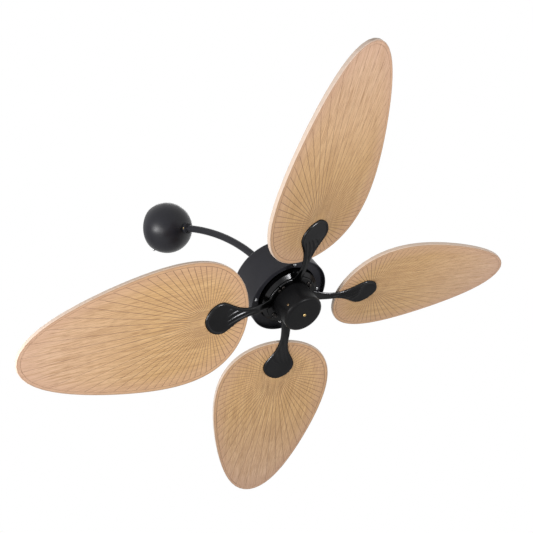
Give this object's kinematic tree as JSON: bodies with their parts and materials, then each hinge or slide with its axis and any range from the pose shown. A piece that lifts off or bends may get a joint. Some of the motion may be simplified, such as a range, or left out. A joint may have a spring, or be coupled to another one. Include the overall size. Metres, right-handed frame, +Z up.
{
  "type": "wall fan",
  "caption": "Wall fan with broad leaf-shaped wooden blades on black irons, a drum motor tilted down on a bent tube arm, and a ball canopy over the wall plate.",
  "frame": {"origin": "centre of the four wall holes, on the wall plane behind the ball canopy", "axes": "+Y into the wall, +Z up along the wall, X sideways; the fan stands out of the wall toward -Y"},
  "size_m": [1.0054, 0.8477, 0.7978],
  "materials": {
    "matte_black": "fine matte powder coat",
    "gloss_black": "semi-gloss baked paint",
    "leaf_wood": "satin clear varnish",
    "zinc_steel": "zinc plated",
    "bright_screws": "nickel plated",
    "dark_screws": "black oxide",
    "brass": "polished",
    "bearing_steel": "ground and polished",
    "cast_aluminium": "as cast",
    "core_steel": "stacked laminations",
    "copper_wire": "enamelled copper",
    "black_plastic": "moulded",
    "ivory_plastic": "moulded",
    "fibre": "pressed fibre",
    "grommet_rubber": "soft"
  },
  "bodies": {
    "wall_mount": {"wall_plate": "zinc_steel", "cable_grommet": "grommet_rubber", "terminal_block": "ivory_plastic", "terminal_screws": "bright_screws", "arm_socket": "zinc_steel", "socket_screws": "bright_screws", "canopy_ball": "matte_black", "canopy_screws": "bright_screws"},
    "arm": {"arm_tube": "matte_black", "arm_collar": "matte_black", "motor_can": "matte_black", "motor_coupling": "matte_black", "front_plate": "gloss_black", "switch_cap": "gloss_black", "cap_bracket": "zinc_steel", "retaining_ring": "zinc_steel", "coupling_pins": "zinc_steel", "motor_shaft": "zinc_steel", "plate_screws": "bright_screws", "coupling_screws": "bright_screws", "shaft_nuts": "bright_screws", "plug_nut": "bright_screws", "cap_plug": "brass", "cap_screws": "brass", "collar_set_screw": "brass", "rear_inner_race": "bearing_steel", "front_inner_race": "bearing_steel", "stator_core": "core_steel", "stator_windings": "copper_wire", "run_capacitor": "black_plastic", "friction_washer": "ivory_plastic"},
    "rotor": {"rotor_rear_bell": "cast_aluminium", "rotor_front_bell": "gloss_black", "rotor_ring": "cast_aluminium", "bell_screws": "bright_screws", "rear_outer_race": "bearing_steel", "front_outer_race": "bearing_steel", "bearing_balls": "bearing_steel", "iron_screws": "dark_screws", "blade_screws": "bright_screws", "blade_washers": "fibre", "blade_iron_1": "gloss_black", "blade_iron_2": "gloss_black", "blade_iron_3": "gloss_black", "blade_iron_4": "gloss_black", "blade_1": "leaf_wood", "blade_2": "leaf_wood", "blade_3": "leaf_wood", "blade_4": "leaf_wood"}
  },
  "joints": [
    {"name": "arm_swivel", "type": "hinge", "parent": "wall_mount", "child": "arm", "pos_m": [0, -0.031, 0], "axis": [0, -1, 0], "range_deg": [-45, 45]},
    {"name": "rotor_spin", "type": "hinge", "parent": "arm", "child": "rotor", "pos_m": [0, -0.51767, -0.19564], "axis": [0, -0.788, -0.6157], "continuous": true}
  ]
}
